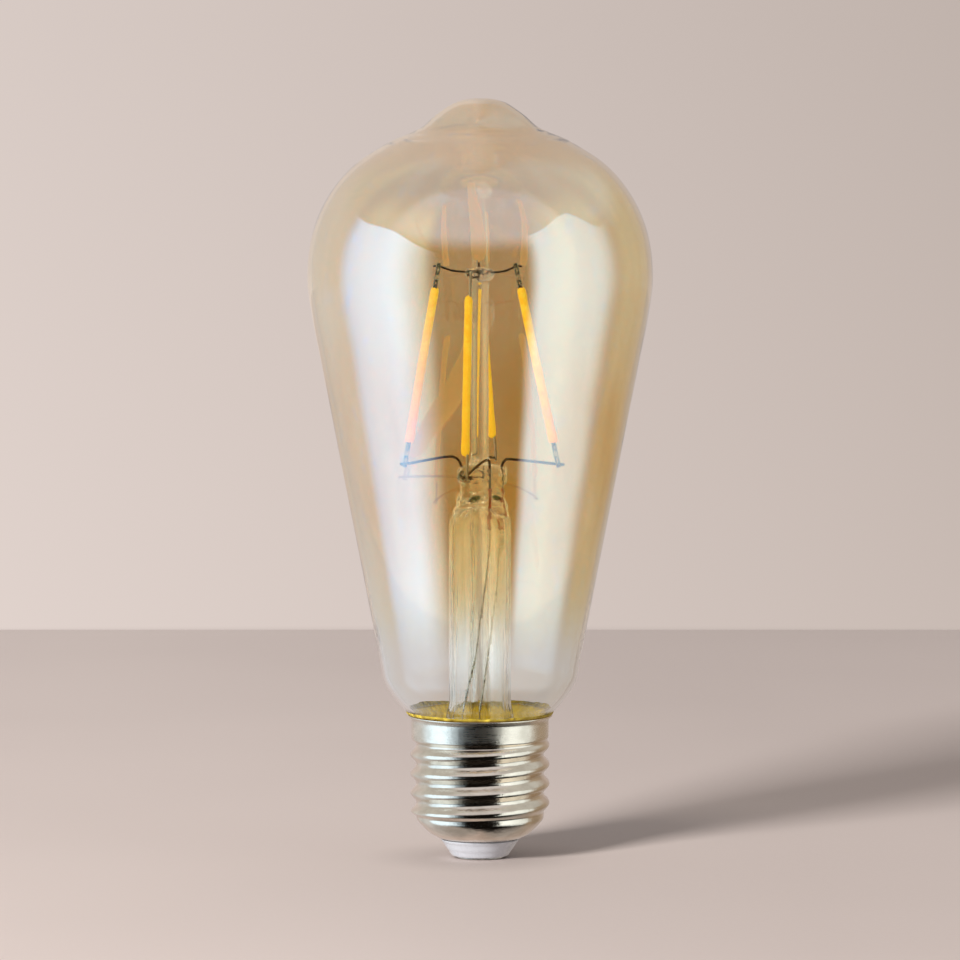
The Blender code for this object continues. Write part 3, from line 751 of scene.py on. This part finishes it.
def make_filament(name, seed):
    """Silicone drawn over the chips, swollen towards one end and pinched where the tabs come out."""
    foot, top = filament_ends(name)
    chips, count = 28, 150
    half, bow = 0.85, 0.10
    length = (top - foot).length

    def size(share):
        ends = min(share, 1.0 - share) * length
        round_off = math.sqrt(max(1.0 - max(1.0 - ends / 0.9, 0.0) ** 2, 0.02))
        swell = 0.05 * math.exp(-((ends - 1.8) ** 2))
        beads = 0.012 * math.cos(math.tau * chips * share)
        uneven = 0.045 * noise.noise(Vector((share * length / 3.4, seed, 0.0)))
        foot_side = 0.05 * (1.0 - share)
        return min((half - 0.09 + foot_side + swell + beads + uneven) * round_off, half + 0.03)

    out = Vector((foot.x, foot.y, 0.0)).normalized()
    points = []
    for step in range(count + 1):
        share = step / count
        points.append(foot.lerp(top, share) + out * bow * math.sin(math.pi * share) * math.sin(seed))
    inner = (top - foot).normalized() * 0.05
    points[0] += inner
    points[-1] -= inner
    shape = swept(points, size, 28, 0.94, out)
    finish = PHOSPHOR_SIDE if name in ("left", "right") else PHOSPHOR
    piece("led_filament_" + name, shape, finish, "filament_" + name)


# Rows along a tab, # where the strip is and . where it is punched out
TAB_MASK = (
    "#####", "#####", "##.##", "#####", "#.#.#", "#.#.#", "#####", "##.##", "##.##", "#####", "#####",
)


def plate(middle, long_axis, wide_axis, length, width, thickness, bend):
    """A punched strip, made cell by cell from the mask, slightly bent along its length."""
    rows, columns = len(TAB_MASK), len(TAB_MASK[0])
    normal = long_axis.cross(wide_axis).normalized()

    def corner(row, column, face):
        along_share, across_share = row / rows - 0.5, column / columns - 0.5
        bow = bend * math.cos(math.pi * along_share)
        at = middle + long_axis * length * along_share + wide_axis * width * across_share
        return (at + normal * (bow + face * thickness / 2)) * MM

    vertices, faces, index = [], [], {}

    def vertex(row, column, face):
        key = (row, column, face)
        if key not in index:
            index[key] = len(vertices)
            vertices.append(corner(row, column, face))
        return index[key]

    def solid(row, column):
        return 0 <= row < rows and 0 <= column < columns and TAB_MASK[row][column] == "#"

    for row in range(rows):
        for column in range(columns):
            if not solid(row, column):
                continue
            square = ((row, column), (row, column + 1), (row + 1, column + 1), (row + 1, column))
            faces.append(tuple(vertex(*at, 1) for at in square))
            faces.append(tuple(vertex(*at, -1) for at in square[::-1]))
            sides = (
                ((row - 1, column), square[0], square[1]), ((row, column + 1), square[1], square[2]),
                ((row + 1, column), square[2], square[3]), ((row, column - 1), square[3], square[0]),
            )
            for beyond, start, end in sides:
                if not solid(*beyond):
                    faces.append((vertex(*start, 1), vertex(*start, -1), vertex(*end, -1), vertex(*end, 1)))
    return vertices, faces


def make_tab(side, name, wire_radius):
    """A punched nickel-iron tab, reaching from inside the silicone to just past the wire welded to it."""
    foot, top = filament_ends(name)
    up = (top - foot).normalized()
    away = up if side == "upper" else -up
    end = top if side == "upper" else foot
    _, axes, _ = main_axes(f"{side}_tab_{name}")
    start = end - away * 0.5
    crossing, _ = wire_crossing(side, name, wire_radius)
    finish_at = crossing + away * TAB_PAST_WIRE
    beside = away.cross(axes[1]).normalized() * (wire_radius + TAB_THICKNESS / 2 - 0.04)
    if beside.y > 0.0:
        beside = -beside
    middle = (start + finish_at) / 2 + beside
    strip = plate(middle, away, axes[1], (finish_at - start).length, TAB_WIDTH, TAB_THICKNESS, 0.05)
    # The front and back tabs get the painted highlight copy of the steel
    finish = TAB_STEEL_PAINTED_HIGHLIGHT if name in ("front", "back") else TAB_STEEL
    piece(f"{side}_tab_punched_{name}", strip, finish, f"{side}_tab_{name}", 0.12)


def wire_crossing(side, name, wire_radius):
    """Where a wire crosses a tab's end, and its own free end just outside, in millimetres."""
    foot, top = filament_ends(name)
    up = (top - foot).normalized()
    _, _, sizes = main_axes(f"{side}_tab_{name}")
    reach = 0.3 + sizes[0] + 0.3 + wire_radius
    at = top + up * reach if side == "upper" else foot - up * reach
    return at, at + Vector((at.x, at.y, 0.0)).normalized() * WIRE_OVERHANG


def make_top_wire(name, first, second, dip):
    """A support wire that sags from an upper tab into the button and up to the tab opposite."""
    halves = []
    for end_name in (first, second):
        tab, end = wire_crossing("upper", end_name, TOP_WIRE_RADIUS)
        flat = Vector((tab.x, tab.y, 0.0)).normalized()
        entry = Vector((flat.x * 3.1, flat.y * 3.1, dip + 0.1))
        halves.append([end, tab, (tab + entry) / 2 - Vector((0.0, 0.0, 0.25)), entry])
    points = halves[0] + [Vector((0.0, 0.0, dip))] + halves[1][::-1]
    shape = swept(smooth_curve(points, 10), TOP_WIRE_RADIUS, 14)
    piece(name + "_bent", shape, NICKEL_WIRE, name)


def make_link_wire():
    """The wire that joins the left and the back filament through the pinch."""
    left_tab, left_end = wire_crossing("lower", "left", LOWER_WIRE_RADIUS)
    back_tab, back_end = wire_crossing("lower", "back", LOWER_WIRE_RADIUS)
    route = [
        (-6.6, 1.4, 75.2), (-4.4, 1.0, 75.0), (-3.5, 0.9, 73.6), (-3.4, 0.9, 72.2), (-2.6, 1.1, 71.5),
        (0.2, 1.8, 71.5), (1.0, 1.95, 72.2), (1.0, 2.0, 73.9), (1.3, 3.4, 74.9),
    ]
    points = [left_end, left_tab, *route, back_tab, back_end]
    shape = swept(smooth_curve(points, 8), LOWER_WIRE_RADIUS, 14)
    piece("lower_link_wire_bent", shape, NICKEL_WIRE, "lower_link_wire")


def make_lead(side, seal, arm, route):
    """Inner lead, red dumet seal with its two welds, and the thin outer lead down into the cap."""
    x, y = seal
    tab, end = wire_crossing("lower", side, LOWER_WIRE_RADIUS)
    rise = [(x, y, DUMET_TOP), (x, y, 71.5), (x, y, 73.6)]
    shape = swept(smooth_curve(rise + arm + [tab, end], 8), LOWER_WIRE_RADIUS, 14)
    piece(f"inner_lead_{side}_bent", shape, NICKEL_WIRE, f"inner_lead_{side}")

    def welded(share):
        at_end = min(share, 1.0 - share) * (DUMET_TOP - DUMET_FOOT)
        return DUMET_RADIUS + 0.14 * math.exp(-((at_end / 0.35) ** 2))

    seal_line = [(x, y, DUMET_FOOT + (DUMET_TOP - DUMET_FOOT) * step / 40) for step in range(41)]
    shape = swept(seal_line, welded, 16)
    piece(f"dumet_seal_{side}_welded", shape, DUMET, f"dumet_seal_{side}")
    shape = swept(smooth_curve([(x, y, DUMET_FOOT - 0.2)] + route, 14), OUTER_LEAD_RADIUS, 10)
    piece(f"outer_lead_{side}_drawn", shape, TINNED, f"outer_lead_{side}")


# Cap


def thread_radius(angle, height):
    """The rolled thread, running out into the skirt above it and into the cone below it."""
    phase = (height - THREAD_START) / THREAD_PITCH - angle / math.tau
    wave = 0.5 + 0.5 * math.cos(math.tau * phase)
    radius = THREAD_ROOT_RADIUS + (THREAD_MAJOR_RADIUS - THREAD_ROOT_RADIUS) * wave
    to_thread = smooth_step((THREAD_TOP - height) / THREAD_RUN_OUT)
    radius = SKIRT_RADIUS + (radius - SKIRT_RADIUS) * to_thread
    to_cone = smooth_step((THREAD_FOOT + THREAD_RUN_OUT - height) / THREAD_RUN_OUT)
    return radius + (THREAD_ROOT_RADIUS - radius) * to_cone


def make_shell():
    """The rolled shell at full fineness: rolled rim, skirt, thread and rounded cone."""
    rim = smooth_curve([(13.25, 27.0), (13.55, 26.95), (13.58, 26.7), (13.15, 26.35), (12.87, 25.9)], 4)
    skirt = [(SKIRT_RADIUS, 25.6 - 0.2 * step) for step in range(14)]
    rows = [(0.0, THREAD_TOP - (THREAD_TOP - THREAD_FOOT) * row / 110) for row in range(111)]
    cone = smooth_curve([(11.95, 7.6), (11.75, 7.1), (11.2, 6.4), (10.4, 5.55), (9.3, 4.6), (7.9, 3.85)], 4)
    outline = rim + skirt + rows + cone + [(7.5, 3.72)]
    segments = 240

    def surface_rings(depth):
        rings = []
        for radius, height in outline:
            threaded = radius == 0.0
            ring = []
            for step in range(segments):
                angle = math.tau * step / segments
                r = thread_radius(angle, height) if threaded else radius
                r += 0.025 * (ripple(around(angle, r, height), 4.0, 6.1) - 1.0) - depth
                ring.append(Vector(around(angle, r, height)) * MM)
            rings.append(ring)
        return rings

    shape = loft(surface_rings(0.0) + surface_rings(CAP_WALL)[::-1], loop=True)
    piece("cap_shell_rolled", shape, NICKEL, "cap_shell")


def make_insulator():
    side = [(7.35, 3.42), (7.1, 3.05), (6.9, 2.8), (6.35, 1.9)]
    side += [(5.9, 1.3), (5.55, 0.75), (5.3, 0.45), (5.0, 0.35)]
    plug = [(7.1, 4.9), (7.1, 3.6), (7.25, 3.5)]
    hollow = [(4.85, 0.4), (4.8, 0.5), (4.8, 1.0), (0.8, 1.0), (0.8, 4.9)]

    def moulded(angle, radius, height):
        return radius + 0.02 * (ripple(around(angle, radius, height), 3.0, 4.4) - 1.0), height

    shape = turned(plug + smooth_curve(side, 5) + hollow, 144, moulded, loop=True)
    piece("cap_insulator_moulded", shape, WHITE, "cap_insulator")


def make_contact():
    outline = [(0.0, 0.7), (4.3, 0.7), (4.5, 0.6), (4.5, 0.32), (4.42, 0.14), (4.25, 0.03), (4.0, 0.0)]
    outline += [(2.2, 0.0), (1.9, 0.06), (1.5, 0.10), (0.8, 0.04), (0.0, 0.02)]

    def domed(angle, radius, height):
        lump = 0.03 * (ripple(around(angle, radius, 0.0), 1.2, 8.2) + 1.0)
        return radius, height + (lump if height < 0.2 and radius < 2.1 else 0.0)

    shape = turned(outline, 96, domed)
    piece("centre_contact_soldered", shape, SOLDER, "centre_contact")


def make_cement():
    """Cement wetted to the neck and the skirt, oozing unevenly to just above the rim."""
    against_glass = [
        (13.83, 27.65), (13.6, 27.42), (13.34, 27.15), (12.9, 26.75), (12.0, 25.9), (11.35, 25.2),
        (10.75, 24.2), (10.35, 22.85),
    ]
    under = [(10.2, 22.35), (9.0, 22.0), (7.4, 21.9), (5.6, 21.6), (5.2, 21.1), (5.4, 20.7)]
    against_shell = [
        (11.2, 20.6), (11.3, 21.6), (11.6, 22.6), (12.35, 23.3), (12.45, 25.6), (12.8, 26.5),
        (13.3, 27.04), (13.6, 27.1), (13.8, 27.35),
    ]
    corners = against_glass + under + against_shell
    outline = []
    for start, end in zip(corners, corners[1:] + corners[:1]):
        for step in range(4):
            share = step / 4
            outline.append((start[0] + (end[0] - start[0]) * share, start[1] + (end[1] - start[1]) * share))

    def oozed(angle, radius, height):
        at = around(angle, radius, height)
        inner = smooth_step((12.9 - radius) / 0.8)
        top = 0.30 * ripple(at, 2.2, 4.9) * smooth_step((height - 27.1) / 0.5)
        lift = top + 0.30 * ripple(at, 1.7, 5.5) * inner
        return radius + 0.10 * ripple(at, 1.4, 2.2) * inner, height + lift

    shape = turned(outline, 200, oozed, loop=True)
    piece("capping_cement_baked", shape, CEMENT, "capping_cement")


def finish_driver():
    """The driver's CAD pieces keep their shapes and get finishes of their own."""
    finishes = {
        "insulating_sleeve": SLEEVE, "driver_board": BOARD, "wireless_board": BOARD, "shield_can": TINPLATE,
        "chip_antenna": CERAMIC, "bridge_rectifier": EPOXY, "driver_chip": EPOXY,
        "smoothing_capacitor": CAN_FILM, "choke": FERRITE, "fusible_resistor": LACQUER,
        "film_capacitor": RED_DIP, "live_wire": TINNED, "neutral_wire": TINNED,
    }
    for node, finish in finishes.items():
        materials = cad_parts[node].data.materials
        materials.clear()
        materials.append(finish)


# Studio


FLOOR_BACK = 0.394
FLOOR_NEAR = -0.42
FLOOR_HALF_WIDTH = 0.95
# Floor colours painted paler at the left and darker at the right, standing for the light falling off
FLOOR_LEFT = (0.880, 0.755, 0.700)
FLOOR_RIGHT = (0.740, 0.630, 0.583)
BACKDROP_LEFT = (0.700, 0.607, 0.566)
BACKDROP_RIGHT = (0.545, 0.465, 0.425)
BACKDROP_SPREAD = 0.062
FLOOR_SEEN_LEFT = (0.60, 0.51, 0.475)
FLOOR_SEEN_RIGHT = (0.50, 0.43, 0.39)
HORIZON = -0.108
HORIZON_SOFT = 0.0006
AMBIENT = (0.278, 0.27, 0.27)
BENT_SHARE = 0.6
STUDIO_FRONT = (0.016, 0.014, 0.012)
STUDIO_BACK_LEFT = (0.68, 0.70, 0.70)
STUDIO_BACK_RIGHT = (0.42, 0.35, 0.26)
STUDIO_CEILING = (0.71, 0.72, 0.76)
STUDIO_TOP = (0.60, 0.63, 0.61)
STUDIO_SPREAD = 0.3
FLOOR_GLOW_LEFT = (0.68, 0.74, 0.78)
FLOOR_GLOW_RIGHT = (0.36, 0.29, 0.21)
FLOOR_UNDER = (0.40, 0.385, 0.37)
FLOOR_FRONT = (0.006, 0.005, 0.004)
SOFTBOX_LEFT = (1.53, 2.04, 2.48)
SOFTBOX_RIGHT = (1.37, 1.56, 1.60)
SOFTBOX_FOOT = (-0.86, -0.52)
KEY_SIZE = 0.5
KEY_RADIANCE = 55.0
KEY_COLOUR = (1.0, 0.985, 0.97)
KEY_TARGET = (0.0, 0.0, 0.04)
KEY_TURN = 37.0
KEY_RISE = 26.0
KEY_DISTANCE = 2.2
CAMERA_LENS = 291.56
CAMERA_PLACE = (0.0, -1.446, 0.200)
CAMERA_DIP = 5.1


def softbox(graph, turn, z, side, near, far, near_soft, far_soft, top_near, top_far, corner):
    """How much of a big softbox at one side a direction meets. Angles in degrees from the front."""
    angle = graph.times(turn, side * 180.0 / math.pi)
    across = window(graph, angle, near, near_soft, far, far_soft)
    rise = graph.remap(angle, near, 72.0, math.sin(math.radians(top_near)), math.sin(math.radians(top_far)))
    top = graph.minus(rise, graph.remap(angle, 76.0, 100.0, 0.0, corner))
    under_top = graph.remap(graph.minus(z, top), -0.012, 0.012, 1.0, 0.0)
    return graph.times(across, graph.times(under_top, graph.remap(z, *SOFTBOX_FOOT)))


def backdrop(graph, x, z):
    """The pale wall as the eye meets it, brightest low down, and the far floor under the horizon."""
    across = graph.remap(x, -BACKDROP_SPREAD, BACKDROP_SPREAD, smooth=False)
    wall = graph.blend(across, BACKDROP_LEFT, BACKDROP_RIGHT)
    wall = graph.scaled(wall, graph.remap(z, -0.11, -0.03, 1.07, 0.975, smooth=False))
    boards = graph.blend(across, FLOOR_SEEN_LEFT, FLOOR_SEEN_RIGHT)
    return graph.blend(graph.remap(z, HORIZON - HORIZON_SOFT, HORIZON + HORIZON_SOFT), boards, wall)


def below_bulb(graph, x, z, aside):
    """What mirrored rays meet under the bulb: a dark front that leans to the right, and a lit floor."""
    glow = graph.blend(graph.remap(x, -STUDIO_SPREAD, STUDIO_SPREAD), FLOOR_GLOW_LEFT, FLOOR_GLOW_RIGHT)
    glow = graph.blend(graph.remap(z, -0.5, -0.9), glow, FLOOR_UNDER)
    lean = graph.times(graph.remap(x, -0.2, 0.2), graph.remap(z, -0.40, -0.70, 0.0, 45.0))
    return graph.blend(graph.remap(graph.minus(aside, lean), 45.0, 95.0), FLOOR_FRONT, glow)


def make_world():
    """What is all round the bulb. The eye meets a pale backdrop, through glass too, mirrored rays a
    dark front between two softboxes, and matt surfaces an even pale room.
    """
    world = bpy.context.scene.world = bpy.data.worlds.new("studio")
    world.use_nodes = True
    world.cycles.sampling_method = "NONE"
    graph = Graph(world.node_tree)
    background = world.node_tree.nodes["Background"]
    way = graph.add("SeparateXYZ", {"Vector": graph.add("TexCoord").outputs["Generated"]})
    x, y, z = way.outputs
    turn = graph.math("ARCTAN2", x, graph.times(y, -1.0))
    aside = graph.times(graph.math("ABSOLUTE", turn), 180.0 / math.pi)

    wall = backdrop(graph, x, z)
    back = graph.blend(graph.remap(x, -STUDIO_SPREAD, STUDIO_SPREAD), STUDIO_BACK_LEFT, STUDIO_BACK_RIGHT)
    room = graph.blend(graph.remap(aside, 40.0, 115.0), STUDIO_FRONT, back)
    overhead = graph.blend(graph.remap(y, -0.30, -0.22), STUDIO_CEILING, STUDIO_TOP)
    room = graph.blend(graph.remap(z, 0.28, 0.55), room, overhead)
    room = graph.blend(graph.remap(z, -0.05, -0.22), room, below_bulb(graph, x, z, aside))
    left = softbox(
        graph, turn, z, side=-1.0, near=26.0, far=112.0, near_soft=42.0, far_soft=14.0,
        top_near=17.0, top_far=29.0, corner=0.03)
    right = softbox(
        graph, turn, z, side=1.0, near=31.0, far=112.0, near_soft=12.0, far_soft=26.0,
        top_near=30.0, top_far=40.0, corner=0.24)
    spread = graph.remap(aside, 35.0, 105.0, 1.0, 0.66, smooth=False)
    left_light = graph.scaled(SOFTBOX_LEFT, spread)
    right_light = graph.scaled(SOFTBOX_RIGHT, spread)
    room = graph.blend(right, graph.blend(left, room, left_light), right_light)
    room = graph.blend(graph.remap(aside, 130.0, 168.0), room, wall)

    path = graph.add("LightPath").outputs
    mirrored = graph.math("GREATER_THAN", path["Glossy Depth"], 0.5)
    scattered = graph.math("GREATER_THAN", path["Diffuse Depth"], 0.5)
    bent = graph.times(graph.math("GREATER_THAN", path["Transmission Depth"], 0.5), BENT_SHARE)
    through = graph.blend(graph.times(bent, left), wall, left_light)
    through = graph.blend(graph.times(bent, right), through, right_light)
    seen = graph.blend(scattered, graph.blend(mirrored, through, room), AMBIENT)
    graph.feed(background.inputs["Color"], seen)
    background.inputs["Strength"].default_value = 1.0


def floor_finish():
    """A matt floor with painted light, paler to the left and darker to the right as the lamps' light falls
    off, and a shade painted round the bulb's foot.
    """
    made, graph, shader = new_material("studio_floor")
    broad = graph.remap(graph.noise(180.0, 2.0), 0.3, 0.7, 0.0, 0.25)
    # Painted light: the colour goes from pale at the left to darker at the right, as the light falls off
    aside = graph.add("SeparateXYZ", {"Vector": graph.place()}).outputs["X"]
    aside = graph.times(graph.remap(aside, -0.09, 0.06, smooth=False), 0.75)
    colour = graph.blend(graph.plus(broad, aside), FLOOR_LEFT, FLOOR_RIGHT)
    reach = graph.add("VectorMath", {0: graph.place()}, operation="LENGTH").outputs["Value"]
    colour = graph.scaled(colour, graph.remap(reach, 0.004, 0.024, 0.78, 1.0))
    grain = graph.noise(1.2, 4.0)
    gloss = graph.remap(grain, 0.3, 0.7, 0.62, 0.72)
    dress(graph, shader, colour, gloss, graph.bump(grain, 0.01), Specular_IOR_Level=0.2)
    return made


def make_floor():
    rows, columns = 12, 24
    vertices, faces = [], []
    for row in range(rows + 1):
        for column in range(columns + 1):
            x = FLOOR_HALF_WIDTH * (2.0 * column / columns - 1.0)
            vertices.append((x, FLOOR_NEAR + (FLOOR_BACK - FLOOR_NEAR) * row / rows, 0.0))
            if row and column:
                last = len(vertices) - 1
                faces.append((last - columns - 2, last - columns - 1, last, last - 1))
    mesh = bpy.data.meshes.new("floor")
    mesh.from_pydata(vertices, [], faces)
    mesh.materials.append(floor_finish())
    made = placed("floor", mesh)
    made.visible_glossy = False
    made.visible_transmission = False


def make_camera():
    camera = bpy.data.cameras.new("camera")
    camera.sensor_width = 36.0
    camera.lens = CAMERA_LENS
    camera.clip_start, camera.clip_end = 0.05, 20.0
    made = placed("camera", camera)
    made.location = CAMERA_PLACE
    made.rotation_euler = (math.radians(90.0 - CAMERA_DIP), 0.0, 0.0)
    bpy.context.scene.camera = made


def make_key():
    """A square area light up at the left of the camera, which only matt surfaces meet."""
    light = bpy.data.lights.new("key", "AREA")
    light.shape = "RECTANGLE"
    light.size, light.size_y = KEY_SIZE, KEY_SIZE
    light.energy = 4.0 * KEY_SIZE * KEY_SIZE * KEY_RADIANCE
    light.color = KEY_COLOUR
    made = placed("key", light)
    turn, rise = math.radians(KEY_TURN), math.radians(KEY_RISE)
    made.location = (
        -math.sin(turn) * math.cos(rise) * KEY_DISTANCE, -math.cos(turn) * math.cos(rise) * KEY_DISTANCE,
        math.sin(rise) * KEY_DISTANCE,
    )
    way = Vector(KEY_TARGET) - made.location
    made.rotation_euler = way.to_track_quat("-Z", "Y").to_euler()
    made.visible_camera = False
    made.visible_transmission = False
    made.visible_glossy = False


def make_studio():
    make_world()
    make_floor()
    make_camera()
    make_key()
    scene = bpy.context.scene
    scene.view_settings.view_transform = "Standard"
    scene.cycles.max_bounces = 40
    scene.cycles.transmission_bounces = 32
    scene.cycles.transparent_max_bounces = 40
    scene.cycles.glossy_bounces = 10
    scene.cycles.diffuse_bounces = 4


def make_bulb():
    make_envelope()
    make_stem()
    make_exhaust_tube()
    make_rod()
    make_button()
    for name, seed in (("front", 0.7), ("left", 2.1), ("back", 3.9), ("right", 5.2)):
        make_filament(name, seed)
        make_tab("upper", name, TOP_WIRE_RADIUS)
        make_tab("lower", name, LOWER_WIRE_RADIUS)
    make_top_wire("top_wire_left_right", "left", "right", 109.75)
    make_top_wire("top_wire_front_back", "front", "back", 108.95)
    make_link_wire()
    down = [(1.7, -2.7, 58.0), (-0.4, -2.8, 41.0), (-3.0, -2.8, 27.0), (-2.7, -3.4, 20.5)]
    down += [(-1.8, -6.5, 13.3)]
    make_lead("front", FRONT_SEAL, [(1.6, -2.6, 74.9), (0.4, -5.4, 74.8)], down)
    down = [(3.8, -0.9, 58.0), (1.8, -2.7, 41.0), (0.0, -3.6, 27.0), (0.3, -4.0, 20.5), (1.4, -6.5, 13.3)]
    make_lead("right", RIGHT_SEAL, [(4.6, -0.8, 74.7), (6.0, -1.2, 75.0)], down)
    make_shell()
    make_insulator()
    make_contact()
    make_cement()
    finish_driver()


make_bulb()
make_studio()
